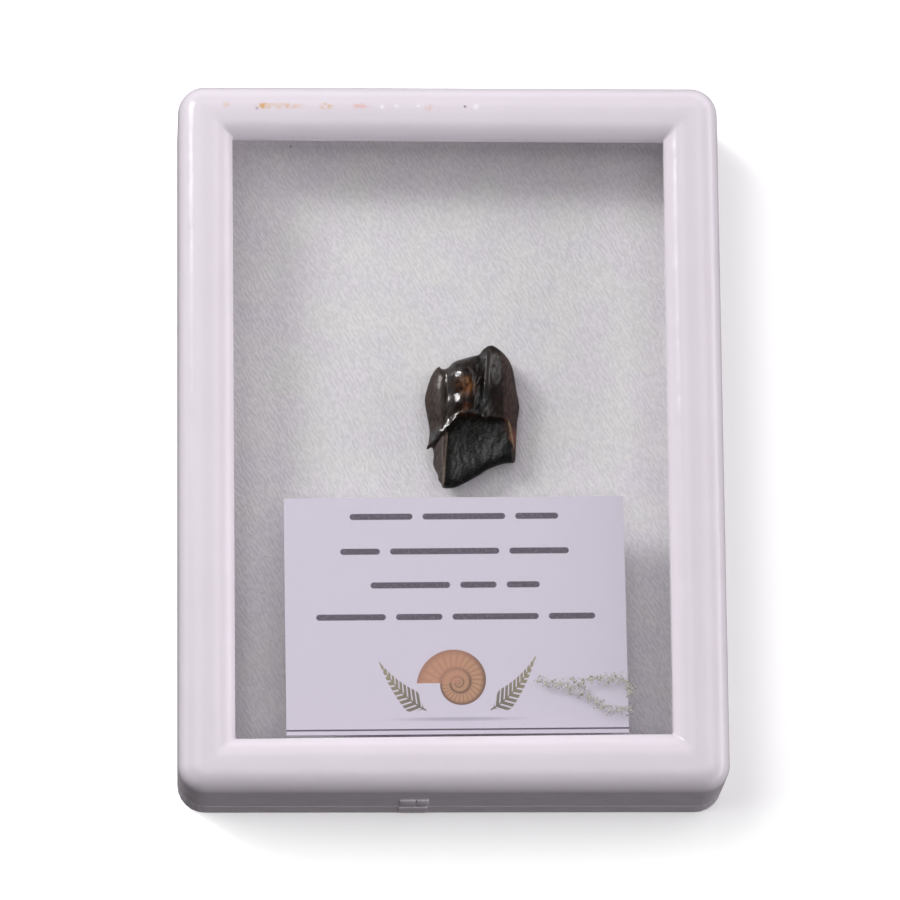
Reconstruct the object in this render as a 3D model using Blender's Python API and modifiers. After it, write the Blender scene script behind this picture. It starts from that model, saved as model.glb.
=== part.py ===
"""A fossil tooth in a shallow white display case: tray, lid frame, window, fibre pad, card and tooth.

The case lies flat, with its long side along Y and its window facing up.
"""
from math import cos, pi, radians, sin, tan

import bmesh
import bpy
import numpy as np
from mathutils import Vector, noise

MM = 0.001
GAP = 0.3 * MM

# Case
CASE_WIDTH = 82.5 * MM
CASE_LENGTH = 109.6 * MM
CASE_HEIGHT = 19.0 * MM
CORNER_RADIUS = 4.2 * MM
LEAST_CORNER_RADIUS = 1.6 * MM
WALL = 1.8 * MM

# Tray
PARTING_HEIGHT = 5.0 * MM
FLOOR_THICKNESS = 1.5 * MM
INNER_WALL = 1.5 * MM
INNER_WALL_TOP = 14.3 * MM
TRAY_EDGE_RADIUS = 0.15 * MM

# Lid frame: its crown rolls up from a shoulder to a crest and rounds down to the edge of the opening
OPENING_INSET = 8.45 * MM
SHOULDER_HEIGHT = 15.0 * MM
CREST_INSET = 4.6 * MM
OUTER_ROLL_POWER = 2.5
OPENING_EDGE_TILT = radians(55)
INNER_ROLL_POWER = 1.35
LIP_BOTTOM = 15.7 * MM
LIP_ROOT_INSET = 6.9 * MM
HOLLOW_START_HEIGHT = 14.4 * MM
HOLLOW_RISE = 2.2 * MM

# Corner radius of the lid frame at some distances in from its outside
CORNER_INSETS = (0.0 * MM, 3.0 * MM, 6.0 * MM, 8.45 * MM)
CORNER_RADII = (4.2 * MM, 1.2 * MM, 0.7 * MM, 0.3 * MM)

# How far each corner of the opening lies off a true rectangle, anticlockwise from the front right
OPENING_SHIFTS = ((-0.05 * MM, 0.15 * MM), (0.07 * MM, -0.10 * MM), (-0.15 * MM, 0.10 * MM),
                  (0.10 * MM, -0.55 * MM))

# Finger tab left of the middle of the front, on both halves of the case
TAB_CENTRE_X = -5.8 * MM
TAB_WIDTH = 4.35 * MM
TAB_PROUD = 0.2 * MM
TAB_TOP = 10.0 * MM
TAB_BOTTOM = 0.8 * MM

# Window
WINDOW_THICKNESS = 0.8 * MM
WINDOW_INSET = 3.0 * MM

# Fibre pad
PAD_TOP = 6.8 * MM
PAD_EDGE_RADIUS = 1.0 * MM

# Label card, stuck under the window and turned a little
CARD_WIDTH = 51.3 * MM
CARD_LENGTH = 36.45 * MM
CARD_THICKNESS = 0.3 * MM
CARD_CENTRE = (0.49 * MM, -27.45 * MM)
CARD_TURN = radians(0.48)

# Tooth: its middle in plan, and below that sizes in millimetres
TOOTH_CENTRE = (3.55 * MM, 4.48 * MM)
TOOTH_THICKNESS = 7.0
TOOTH_CELL = 0.46
RIM_WIDTH = 2.2
RIM_LEFT = 0.32
RIM_LEVEL = 0.42

# Outline of the tooth from above, clockwise from its tip, from the tooth's middle
TOOTH_OUTLINE = [
    (2.5, 10.95), (3.7, 10.65), (5.2, 9.45), (6.1, 8.1), (6.5, 6.4), (6.8, 4.3), (7.2, 2.4), (7.2, 1.25),
    (6.9, -0.3), (6.8, -1.6), (6.7, -3.1), (6.6, -5.0), (6.5, -6.5), (6.1, -6.9), (5.1, -7.0), (4.0, -7.3),
    (2.5, -7.9), (0.9, -8.9), (-0.8, -9.9), (-2.6, -10.8), (-4.5, -10.95), (-4.8, -10.3), (-5.2, -9.7),
    (-5.3, -8.9), (-5.8, -7.8), (-6.0, -7.0), (-5.9, -5.9), (-6.0, -4.7), (-6.3, -4.6), (-7.0, -4.9),
    (-6.75, -4.2), (-6.6, -3.2), (-6.5, -2.1), (-6.6, -1.2), (-6.85, 0.3), (-7.1, 1.6), (-7.2, 2.8),
    (-7.05, 3.7), (-6.4, 5.8), (-5.7, 7.1), (-5.0, 7.7), (-4.7, 7.3), (-3.7, 7.4), (-2.8, 8.3),
    (-1.3, 8.8), (0.2, 9.3), (1.1, 9.6), (1.6, 10.3)]

# Lines across the tooth's face: the crest beside the worn facet, the valley and groove each side of
# the enamel dome, the edge where the enamel is broken away, and the splint along the root's left side
CREST_LINE = [(2.9, 10.4), (3.0, 8.4), (2.7, 6.0), (2.5, 3.0), (2.3, 0.0)]
VALLEY_LINE = [(0.9, 8.4), (1.4, 5.6), (1.4, 3.0), (1.1, 0.9)]
GROOVE_LINE = [(-4.2, 7.4), (-3.8, 4.4), (-3.6, 2.8), (-3.9, 0.0), (-4.1, -2.4)]
BREAK_LINE = [(-4.3, -2.3), (-3.4, -1.0), (-2.1, 0.5), (-0.6, 1.0), (0.3, 0.0), (1.9, -0.8), (3.6, -0.7),
              (5.4, -0.9), (5.7, -4.0), (5.6, -7.4)]
SPLINT_LINE = [(-4.7, -4.0), (-4.7, -6.4), (-4.7, -8.4), (-4.7, -10.6)]

COLLECTION_NAME = "fossil_tooth_display_case"

PLASTIC_COLOUR = (0.74, 0.67, 0.75)
CLEAR_COLOUR = (0.95, 0.96, 0.97)
PAD_COLOUR = (0.62, 0.60, 0.62)
CARD_COLOUR = (0.64, 0.60, 0.71)
TOOTH_COLOUR = (0.030, 0.022, 0.019)


def remove_all_objects():
    for thing in list(bpy.data.objects):
        bpy.data.objects.remove(thing, do_unlink=True)


def new_collection(name):
    collection = bpy.data.collections.new(name)
    bpy.context.scene.collection.children.link(collection)
    return collection


def new_object(name, data, collection):
    thing = bpy.data.objects.new(name, data)
    collection.objects.link(thing)
    return thing


def new_material(name, colour, roughness, transmission=0.0):
    material = bpy.data.materials.new(name)
    material.use_nodes = True
    shader = material.node_tree.nodes["Principled BSDF"]
    shader.inputs["Base Color"].default_value = (*colour, 1.0)
    shader.inputs["Roughness"].default_value = roughness
    shader.inputs["Metallic"].default_value = 0.0
    shader.inputs["Transmission Weight"].default_value = transmission
    return material


def finish(thing, material, parent, smooth_angle=35):
    thing.data.materials.append(material)
    thing.data.shade_smooth()
    thing.data.set_sharp_from_angle(angle=radians(smooth_angle))
    thing.parent = parent


# Solids from flat outlines

def rounded_rectangle(width, length, radius, steps=6):
    """Points of a rectangle with round corners, anticlockwise."""
    points = []
    for corner in range(4):
        side_x = 1 if corner in (0, 1) else -1
        side_y = 1 if corner in (1, 2) else -1
        start = (corner - 1) * pi / 2
        for step in range(steps + 1):
            angle = start + step / steps * pi / 2
            x = side_x * (width / 2 - radius) + radius * cos(angle)
            y = side_y * (length / 2 - radius) + radius * sin(angle)
            points.append((x, y))
    return points


def prism(name, points, bottom, top, collection):
    """A flat outline as a filled curve, extruded, made a mesh, with its caps welded on."""
    curve = bpy.data.curves.new(name + "_outline", "CURVE")
    curve.dimensions = "2D"
    curve.fill_mode = "BOTH"
    curve.extrude = (top - bottom) / 2
    spline = curve.splines.new("POLY")
    spline.points.add(len(points) - 1)
    for point, (x, y) in zip(spline.points, points):
        point.co = (x, y, 0.0, 1.0)
    spline.use_cyclic_u = True
    drawn = new_object(name + "_drawn", curve, collection)
    evaluated = drawn.evaluated_get(bpy.context.evaluated_depsgraph_get())
    mesh = bpy.data.meshes.new_from_object(evaluated)
    bpy.data.objects.remove(drawn, do_unlink=True)
    shape = bmesh.new()
    shape.from_mesh(mesh)
    bmesh.ops.remove_doubles(shape, verts=shape.verts, dist=1e-6)
    bmesh.ops.dissolve_limit(shape, angle_limit=radians(0.5), verts=shape.verts, edges=shape.edges)
    bmesh.ops.translate(shape, vec=(0.0, 0.0, (top + bottom) / 2), verts=shape.verts)
    bmesh.ops.recalc_face_normals(shape, faces=shape.faces)
    shape.to_mesh(mesh)
    shape.free()
    return new_object(name, mesh, collection)


def case_slab(name, inset, bottom, top, collection):
    """A slab that follows the case's round-cornered outline at a distance inside it."""
    radius = max(CORNER_RADIUS - inset, LEAST_CORNER_RADIUS)
    points = rounded_rectangle(CASE_WIDTH - 2 * inset, CASE_LENGTH - 2 * inset, radius)
    return prism(name, points, bottom, top, collection)


def block(name, low, high, collection):
    """A plain box between two corners."""
    mesh = bpy.data.meshes.new(name)
    shape = bmesh.new()
    bmesh.ops.create_cube(shape, size=1.0)
    low, high = Vector(low), Vector(high)
    bmesh.ops.scale(shape, vec=high - low, verts=shape.verts)
    bmesh.ops.translate(shape, vec=(high + low) / 2, verts=shape.verts)
    shape.to_mesh(mesh)
    shape.free()
    return new_object(name, mesh, collection)


def round_edges(thing, radius, segments=2):
    bevel = thing.modifiers.new("rounded edges", "BEVEL")
    bevel.width = radius
    bevel.segments = segments
    bevel.limit_method = "ANGLE"
    bevel.angle_limit = radians(60)


def combine(thing, other, operation):
    boolean = thing.modifiers.new(operation.lower() + " " + other.name, "BOOLEAN")
    boolean.operation = operation
    boolean.solver = "EXACT"
    boolean.object = other
    other.hide_render = True
    other.display_type = "WIRE"


def finger_tab(name, bottom, top, cutters):
    """A low block on the front wall, standing a little proud of it and rooted inside it."""
    front = -CASE_LENGTH / 2 - TAB_PROUD
    low = (TAB_CENTRE_X - TAB_WIDTH / 2, front, bottom)
    high = (TAB_CENTRE_X + TAB_WIDTH / 2, front + TAB_PROUD + WALL / 2, top)
    tab = block(name, low, high, cutters)
    round_edges(tab, TAB_PROUD * 0.7)
    return tab


# Case

def make_tray(parts, cutters, plastic, parent):
    """A shallow tray whose inner wall stands up inside the lid's skirt."""
    tray = case_slab("base_tray", 0.0, 0.0, PARTING_HEIGHT, parts)
    round_edges(tray, TRAY_EDGE_RADIUS)
    wall_inset = WALL + GAP
    inner_wall = case_slab("tray_inner_wall", wall_inset, FLOOR_THICKNESS / 2, INNER_WALL_TOP, cutters)
    hollow_inset = wall_inset + INNER_WALL
    hollow = case_slab("tray_hollow", hollow_inset, FLOOR_THICKNESS, CASE_HEIGHT, cutters)
    combine(tray, inner_wall, "UNION")
    combine(tray, hollow, "DIFFERENCE")
    combine(tray, finger_tab("tray_tab", TAB_BOTTOM, PARTING_HEIGHT - GAP, cutters), "UNION")
    finish(tray, plastic, parent)


def lid_section():
    """The lid frame's section, from the skirt's foot over the crown, the lip and the hollow: inset, height."""
    skirt_bottom = PARTING_HEIGHT + GAP
    steps = 7
    section = [(0.0, skirt_bottom)]
    for step in range(steps + 1):
        angle = step / steps * pi / 2
        inset = CREST_INSET * (1 - cos(angle) ** (2 / OUTER_ROLL_POWER))
        rise = (CASE_HEIGHT - SHOULDER_HEIGHT) * sin(angle) ** (2 / OUTER_ROLL_POWER)
        section.append((inset, SHOULDER_HEIGHT + rise))
    stretch = (OPENING_INSET - CREST_INSET) / steps
    height = CASE_HEIGHT
    for step in range(steps):
        share = (step + 0.5) / steps
        height -= stretch * tan(OPENING_EDGE_TILT * share ** INNER_ROLL_POWER)
        section.append((CREST_INSET + stretch * (step + 1), height))
    section.append((OPENING_INSET, LIP_BOTTOM))
    for step in range(steps + 1):
        share = step / steps
        inset = LIP_ROOT_INSET + (WALL - LIP_ROOT_INSET) * (1 - cos(share * pi)) / 2
        height = LIP_BOTTOM + (HOLLOW_START_HEIGHT - LIP_BOTTOM) * share + HOLLOW_RISE * sin(share * pi)
        section.append((inset, height))
    section.append((WALL, skirt_bottom))
    return section


def make_lid(parts, cutters, plastic, parent):
    """The lid frame, a loft: its outside has round corners and its opening has nearly sharp ones."""
    shape = bmesh.new()
    rings = []
    for inset, height in lid_section():
        radius = float(np.interp(inset, CORNER_INSETS, CORNER_RADII))
        points = rounded_rectangle(CASE_WIDTH - 2 * inset, CASE_LENGTH - 2 * inset, radius)
        skew = (inset / OPENING_INSET) ** 2
        ring = []
        for place, (x, y) in enumerate(points):
            shift_x, shift_y = OPENING_SHIFTS[place * 4 // len(points)]
            ring.append(shape.verts.new((x + skew * shift_x, y + skew * shift_y, height)))
        rings.append(ring)
    for index, ring in enumerate(rings):
        following = rings[(index + 1) % len(rings)]
        for place in range(len(ring)):
            beside = (place + 1) % len(ring)
            shape.faces.new((ring[place], ring[beside], following[beside], following[place]))
    bmesh.ops.recalc_face_normals(shape, faces=shape.faces)
    mesh = bpy.data.meshes.new("lid_frame")
    shape.to_mesh(mesh)
    shape.free()
    lid = new_object("lid_frame", mesh, parts)
    combine(lid, finger_tab("lid_tab", PARTING_HEIGHT + 2 * GAP, TAB_TOP, cutters), "UNION")
    finish(lid, plastic, parent)


def make_window(parts, clear, parent):
    """The pane lies under the lip and over the tray's inner wall."""
    top = LIP_BOTTOM - GAP
    window = case_slab("window", WINDOW_INSET, top - WINDOW_THICKNESS, top, parts)
    finish(window, clear, parent)


def make_pad(parts, fibre, parent):
    """The fibre pad fills the tray and ends well below the window."""
    inset = WALL + GAP + INNER_WALL + GAP
    pad = case_slab("backing_pad", inset, FLOOR_THICKNESS + GAP, PAD_TOP, parts)
    round_edges(pad, PAD_EDGE_RADIUS, segments=3)
    finish(pad, fibre, parent)


def make_card(parts, paper, parent):
    """The card is held flat against the underside of the window."""
    top = LIP_BOTTOM - GAP - WINDOW_THICKNESS - GAP
    low = (-CARD_WIDTH / 2, -CARD_LENGTH / 2, top - CARD_THICKNESS)
    card = block("label_card", low, (CARD_WIDTH / 2, CARD_LENGTH / 2, top), parts)
    card.location = (*CARD_CENTRE, 0.0)
    card.rotation_euler = (0.0, 0.0, CARD_TURN)
    finish(card, paper, parent)


# Tooth, in millimetres from its middle and from its lowest point

def smooth_loop(points, steps=3):
    """A closed line that passes smoothly through the points."""
    count = len(points)
    smooth = []
    for index in range(count):
        p0, p1, p2, p3 = (np.array(points[(index + shift) % count]) for shift in (-1, 0, 1, 2))
        for step in range(steps):
            t = step / steps
            bend = (2 * p1 + (p2 - p0) * t + (2 * p0 - 5 * p1 + 4 * p2 - p3) * t ** 2
                    + (3 * p1 - p0 - 3 * p2 + p3) * t ** 3)
            smooth.append(tuple(bend / 2))
    return smooth


def distance_to_line(x, y, line, closed=False):
    """Distance from each place to a line of points, negative on the line's right side."""
    nearest = np.full(x.shape, np.inf)
    side = np.ones(x.shape)
    ends = list(zip(line, line[1:] + line[:1])) if closed else list(zip(line, line[1:]))
    for (ax, ay), (bx, by) in ends:
        along_x, along_y = bx - ax, by - ay
        share = ((x - ax) * along_x + (y - ay) * along_y) / (along_x ** 2 + along_y ** 2)
        share = np.clip(share, 0.0, 1.0)
        distance = np.hypot(x - ax - share * along_x, y - ay - share * along_y)
        closer = distance < nearest
        turn = along_x * (y - ay) - along_y * (x - ax)
        side = np.where(closer, np.where(turn < 0, -1.0, 1.0), side)
        nearest = np.where(closer, distance, nearest)
    return nearest * side


def hill(x, y, centre, radii):
    """A smooth rise of 1 at its centre."""
    return np.exp(-((x - centre[0]) / radii[0]) ** 2 - ((y - centre[1]) / radii[1]) ** 2)


def beside(x, y, line, width):
    """A smooth rise of 1 along a line."""
    return np.exp(-(distance_to_line(x, y, line) / width) ** 2)


def smooth_step(low, high, value):
    share = np.clip((value - low) / (high - low), 0.0, 1.0)
    return share * share * (3 - 2 * share)


def lumps(x, y, size, depth):
    """Uneven low relief of a given size."""
    height = [noise.noise(Vector((a / size, b / size, depth))) for a, b in zip(x, y)]
    return np.array(height)


def crown_height(x, y):
    """The enamel side: a dome, the lobe left of it, the crest and worn facet, and the right flank."""
    height = 5.3 - 0.035 * (x + 0.5) ** 2 - 0.010 * (y - 3.0) ** 2
    height += 1.5 * hill(x, y, (-1.3, 4.8), (2.4, 2.9))
    height += 0.5 * hill(x, y, (-5.4, 3.2), (1.2, 3.8))
    height -= 0.8 * beside(x, y, GROOVE_LINE, 0.85)
    height -= 0.8 * beside(x, y, VALLEY_LINE, 0.9)
    height += 0.9 * beside(x, y, CREST_LINE, 0.85)
    height -= 0.28 * np.maximum(x - 4.6, 0.0) ** 2
    facet = hill(x, y, (3.9, 6.8), (1.1, 3.0))
    worn = 5.5 - 0.3 * (x - 3.0)
    height += (np.minimum(height, worn) - height) * smooth_step(0.15, 0.75, facet)
    return height + 0.25 * beside(x, y, BREAK_LINE, 0.55)


def root_height(x, y):
    """The broken root: hollow in its middle, ribbed lengthwise, with a splint along its left side."""
    height = 4.2 - 0.030 * (x - 1.0) ** 2 + 0.06 * (y + 5.0)
    height -= 1.0 * hill(x, y, (0.8, -5.0), (3.2, 3.2))
    height += 0.9 * beside(x, y, SPLINT_LINE, 1.1)
    height += 0.07 * np.sin(2 * pi * x / 1.7 + 0.8 * np.sin(0.7 * y))
    return height - 0.5 * np.maximum(x - 5.4, 0.0)


def tooth_top(x, y):
    past_break = -distance_to_line(x, y, BREAK_LINE)
    root = smooth_step(-0.1, 1.1, past_break)
    height = crown_height(x, y) * (1 - root) + root_height(x, y) * root
    return height + 0.22 * lumps(x, y, 1.6, 0.3)


def tooth_bottom(x, y):
    height = 0.8 * (1 - hill(x, y, (0.3, 0.0), (5.0, 8.0)))
    return height + 0.15 * lumps(x, y, 2.4, 7.1)


def make_tooth(parts, cutters, fossil, parent):
    """The outline as a prism in small cells, whose layers are then moved between the two faces."""
    outline = smooth_loop(TOOTH_OUTLINE)
    drawn = [(x * MM, y * MM) for x, y in outline]
    draft = prism("tooth_draft", drawn, 0.0, TOOTH_THICKNESS * MM, cutters)
    cells = draft.modifiers.new("cells", "REMESH")
    cells.mode = "VOXEL"
    cells.voxel_size = TOOTH_CELL * MM
    evaluated = draft.evaluated_get(bpy.context.evaluated_depsgraph_get())
    mesh = bpy.data.meshes.new_from_object(evaluated)
    mesh.name = "tooth"
    bpy.data.objects.remove(draft, do_unlink=True)

    places = np.empty(len(mesh.vertices) * 3)
    mesh.vertices.foreach_get("co", places)
    x, y, z = places.reshape(-1, 3).T / MM
    share = np.clip(z / TOOTH_THICKNESS, 0.0, 1.0)
    top = tooth_top(x, y)
    top *= TOOTH_THICKNESS / top.max()
    bottom = tooth_bottom(x, y)
    bottom -= bottom.min()
    inward = np.clip(np.abs(distance_to_line(x, y, outline, closed=True)) / RIM_WIDTH, 0.0, 1.0)
    fullness = RIM_LEFT + (1 - RIM_LEFT) * np.sqrt(1 - (1 - inward) ** 2)
    level = bottom + (top - bottom) * RIM_LEVEL
    z = level + (bottom + (top - bottom) * share - level) * fullness
    z -= z.min()
    mesh.vertices.foreach_set("co", (np.stack([x, y, z], axis=1) * MM).ravel())
    mesh.update()

    tooth = new_object("tooth", mesh, parts)
    tooth.location = (*TOOTH_CENTRE, PAD_TOP + GAP)
    finish(tooth, fossil, parent, smooth_angle=60)


def main():
    remove_all_objects()
    parts = new_collection(COLLECTION_NAME)
    cutters = new_collection("cutters")
    plastic = new_material("white plastic", PLASTIC_COLOUR, 0.35)
    clear = new_material("clear pane", CLEAR_COLOUR, 0.03, transmission=1.0)
    fibre = new_material("white fibre", PAD_COLOUR, 0.95)
    paper = new_material("card", CARD_COLOUR, 0.7)
    fossil = new_material("fossil enamel", TOOTH_COLOUR, 0.3)

    case = new_object("case_centre", None, parts)
    make_tray(parts, cutters, plastic, case)
    make_lid(parts, cutters, plastic, case)
    make_window(parts, clear, case)
    make_pad(parts, fibre, case)
    make_card(parts, paper, case)
    make_tooth(parts, cutters, fossil, case)

    # The tabs make the front longer, so the whole case moves back by half of that
    case.location = (0.0, TAB_PROUD / 2, 0.0)
    for cutter in cutters.objects:
        cutter.parent = case
    bpy.context.view_layer.update()


main()
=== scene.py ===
# %% [markdown]
# # A fossil tooth in its display case
#
# The object is a small dark tooth that lies on a white fibre pad, in a shallow white plastic case with
# a clear window. A printed card is stuck under the window. The solids come from the imported model,
# and this lesson gives them their finishes. Where a solid is too plain for a close look, a finer
# mesh takes its place. We begin with the tools and the imported model.

from math import cos, pi, radians, sin, tan

import bmesh
import bpy
import numpy as np
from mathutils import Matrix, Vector, noise


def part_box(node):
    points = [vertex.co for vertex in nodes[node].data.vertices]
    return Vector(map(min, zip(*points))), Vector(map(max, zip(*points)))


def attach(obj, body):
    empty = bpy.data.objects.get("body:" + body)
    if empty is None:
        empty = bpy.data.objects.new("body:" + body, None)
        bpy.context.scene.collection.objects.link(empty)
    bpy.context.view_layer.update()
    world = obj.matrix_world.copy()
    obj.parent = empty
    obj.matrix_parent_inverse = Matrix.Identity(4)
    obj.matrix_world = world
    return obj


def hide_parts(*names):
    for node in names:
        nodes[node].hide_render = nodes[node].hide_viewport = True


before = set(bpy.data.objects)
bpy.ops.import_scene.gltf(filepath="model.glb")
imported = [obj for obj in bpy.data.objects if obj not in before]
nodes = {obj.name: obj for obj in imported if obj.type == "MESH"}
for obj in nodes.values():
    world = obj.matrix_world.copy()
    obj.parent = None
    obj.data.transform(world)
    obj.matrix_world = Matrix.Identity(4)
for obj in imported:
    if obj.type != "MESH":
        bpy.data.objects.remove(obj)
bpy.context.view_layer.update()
print("solids:", ", ".join(sorted(nodes)))

# %% [markdown]
# Blender measures in metres, and this object is a hand wide, so millimetres are easier to think in.
# The finger tab makes the front of the case a little longer. For that reason the middle of the
# case lies a tenth of a millimetre behind the origin, and all places are measured from there.

# %% Millimetres, and the middle of the case
MM = 0.001
CASE_MIDDLE = Vector((0.0, 0.1, 0.0))


def from_case(x, y, z=0.0):
    """A place given in millimetres from the middle of the case, in metres in the model's frame."""
    return (Vector((x, y, z)) + CASE_MIDDLE) * MM


print("middle of the case:", from_case(0, 0))

# %% [markdown]
# ## The camera
#
# The photograph was taken almost from above, a little from the front and from the left, with a long
# lens. The corners of the case in the picture gave the place and the turn of the camera. A long
# lens far away keeps the sides of the case nearly parallel, as they are in the photograph.

# %% Camera
camera = bpy.data.objects.new("camera", bpy.data.cameras.new("camera"))
bpy.context.scene.collection.objects.link(camera)
bpy.context.scene.camera = camera
camera.location = from_case(-47.8, -251.9, 1018.2)
camera.rotation_euler = (radians(14.0), radians(-2.58), radians(-0.56))
camera.data.sensor_width = 36.0
camera.data.lens = 273.99
camera.data.clip_start = 0.05
camera.data.clip_end = 20.0
print("camera:", [round(v, 4) for v in camera.location], "lens", camera.data.lens, "mm")

# %% [markdown]
# ## The light
#
# Three things light the case. A softbox stands behind it on the left and gives the soft-edged
# shadow that the rim throws on the pad. A pale ceiling, whose middle lies a little to the back,
# fills that shadow, and low white walls at the sides and the back light the outside of the rails.
# The room is dark in front of the case, so the front wall is in shade. The ceiling has a dark hole
# where the window would mirror it, so the window shows no haze. A world whose brightness depends
# on the direction makes the ceiling and the walls.


# %% Values and nodes as Python
class Value:
    """A socket that Python can calculate with: each operator adds one Math node after it."""

    def __init__(self, tree, socket):
        self.tree = tree
        self.socket = socket

    def maths(self, operation, *values):
        return self.tree.node("ShaderNodeMath", dict(operation=operation), dict(enumerate(values)))

    def __add__(self, other):
        return self.maths("ADD", self, other)

    def __radd__(self, other):
        return self.maths("ADD", other, self)

    def __sub__(self, other):
        return self.maths("SUBTRACT", self, other)

    def __rsub__(self, other):
        return self.maths("SUBTRACT", other, self)

    def __mul__(self, other):
        return self.maths("MULTIPLY", self, other)

    def __truediv__(self, other):
        return self.maths("DIVIDE", self, other)

    def __pow__(self, power):
        return self.maths("POWER", self, power)

    def __abs__(self):
        return self.maths("ABSOLUTE", self)

    def least(self, other):
        return self.maths("MINIMUM", self, other)

    def most(self, other):
        return self.maths("MAXIMUM", self, other)

    def apply(self, operation, *others):
        """Any other Math operation, such as FRACT or SINE."""
        return self.maths(operation, self, *others)


class Tree:
    """A node tree under construction."""

    def __init__(self, tree):
        self.nodes = tree.nodes
        self.links = tree.links
        self.nodes.clear()

    def node(self, kind, settings=None, sockets=None, output=0):
        """Adds any node: its settings first, then the values or links of its sockets."""
        made = self.nodes.new(kind)
        for name, setting in (settings or {}).items():
            setattr(made, name, setting)
        for name, value in (sockets or {}).items():
            if isinstance(value, Value):
                self.links.new(value.socket, made.inputs[name])
            else:
                made.inputs[name].default_value = value
        return Value(self, made.outputs[output]) if made.outputs else made

    def parts(self, vector):
        """The three numbers of a vector."""
        split = self.node("ShaderNodeSeparateXYZ", {}, {0: vector}).socket.node
        return [Value(self, socket) for socket in split.outputs]

    def together(self, x, y, z=0.0):
        return self.node("ShaderNodeCombineXYZ", {}, {0: x, 1: y, 2: z})

    def vector(self, operation, first, second):
        return self.node("ShaderNodeVectorMath", dict(operation=operation), {0: first, 1: second})

    def rise(self, value, low, high, start=0.0, end=1.0):
        """A smooth step from start to end as the value goes from low to high."""
        settings = dict(interpolation_type="SMOOTHSTEP")
        return self.node("ShaderNodeMapRange", settings, {0: value, 1: low, 2: high, 3: start, 4: end})

    def noise(self, place, scale, detail=2.0, roughness=0.5):
        sockets = {"Vector": place, "Scale": scale, "Detail": detail, "Roughness": roughness}
        return self.node("ShaderNodeTexNoise", {}, sockets)

    def mix(self, share, first, second):
        """Two colours mixed: a Math node would turn them grey."""
        sockets = {0: share, 6: first, 7: second}
        return self.node("ShaderNodeMix", dict(data_type="RGBA"), sockets, output=2)


def colour(red, green, blue):
    """A colour given as it looks on a screen, from 0 to 255, as linear light."""
    shares = [value / 255 for value in (red, green, blue)]
    linear = [v / 12.92 if v <= 0.04045 else ((v + 0.055) / 1.055) ** 2.4 for v in shares]
    return (*linear, 1.0)


print("mid grey as light:", [round(v, 3) for v in colour(128, 128, 128)[:3]])

# %% World: low walls of unlike brightness, and a ceiling with a dark hole for the camera
RIGHT_WALL = 3.4
LEFT_WALL = 0.95
BACK_WALL = 1.1
FRONT_WALL = 0.02
CEILING = 1.54
BELOW = 0.03
# Two directions: the middle of the ceiling, and where the window mirrors the ceiling into the camera
CEILING_MIDDLE = (0.0, 0.11, 0.994)
CEILING_HOLE = (0.056, 0.236, 0.970)

world = bpy.data.worlds.new("studio")
world.use_nodes = True
bpy.context.scene.world = world
sky = Tree(world.node_tree)
direction = sky.node("ShaderNodeTexCoord", {}, {}, "Generated")
across, along, up = sky.parts(direction)


def towards(aim):
    """The cosine of the angle between a direction of the world and an aim."""
    return across * aim[0] + along * aim[1] + up * aim[2]


sideways = (across ** 2 + along ** 2).most(0.000001)
walls = across.most(0.0) ** 2 * RIGHT_WALL + across.least(0.0) ** 2 * LEFT_WALL
walls = walls + along.most(0.0) ** 2 * BACK_WALL + along.least(0.0) ** 2 * FRONT_WALL
walls = walls / sideways * sky.rise(up, 0.60, 0.25) * sky.rise(up, -0.03, 0.03)
ceiling = sky.rise(towards(CEILING_MIDDLE), 0.80, 0.88) * CEILING
ceiling = ceiling * sky.rise(towards(CEILING_HOLE), 0.985, 0.965)
strength = walls + ceiling + sky.rise(up, 0.03, -0.03) * BELOW
faint_lilac = (1.0, 0.985, 1.0, 1.0)
shining = sky.node("ShaderNodeBackground", {}, {"Color": faint_lilac, "Strength": strength})
sky.node("ShaderNodeOutputWorld", {}, {"Surface": shining})
bpy.context.scene.view_settings.view_transform = "Standard"
print("world nodes:", len(world.node_tree.nodes))


# %% Softboxes
KEY_DIRECTION, KEY_DISTANCE = (-10.7, 8.0, 9.4), 0.9
FLOOR_LIGHT_DIRECTION, FLOOR_LIGHT_DISTANCE = (-8.0, 3.0, 10.0), 1.2


def softbox(name, aim, distance, size, power):
    """A square area light that faces the case: distance and size in metres, power in watts."""
    lamp = bpy.data.lights.new(name, "AREA")
    lamp.size = size
    lamp.energy = power
    light = bpy.data.objects.new(name, lamp)
    bpy.context.scene.collection.objects.link(light)
    light.location = Vector(aim).normalized() * distance
    light.rotation_euler = light.location.to_track_quat("Z", "Y").to_euler()
    return light


key = softbox("key_softbox", KEY_DIRECTION, KEY_DISTANCE, 0.30, 4.05)
floor_light = softbox("floor_light", FLOOR_LIGHT_DIRECTION, FLOOR_LIGHT_DISTANCE, 1.1, 14.5)
print("key light at", [round(v, 2) for v in key.location])

# %% [markdown]
# ## The floor
#
# The photograph stands on plain white. The floor shines a little, as a sheet of paper that is lit
# from behind does, and the large softbox lights the floor alone, so the shadow beside the case
# stays soft and pale. The floor sends no light back to the case, whose front wall is dark in the
# photograph.

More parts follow.
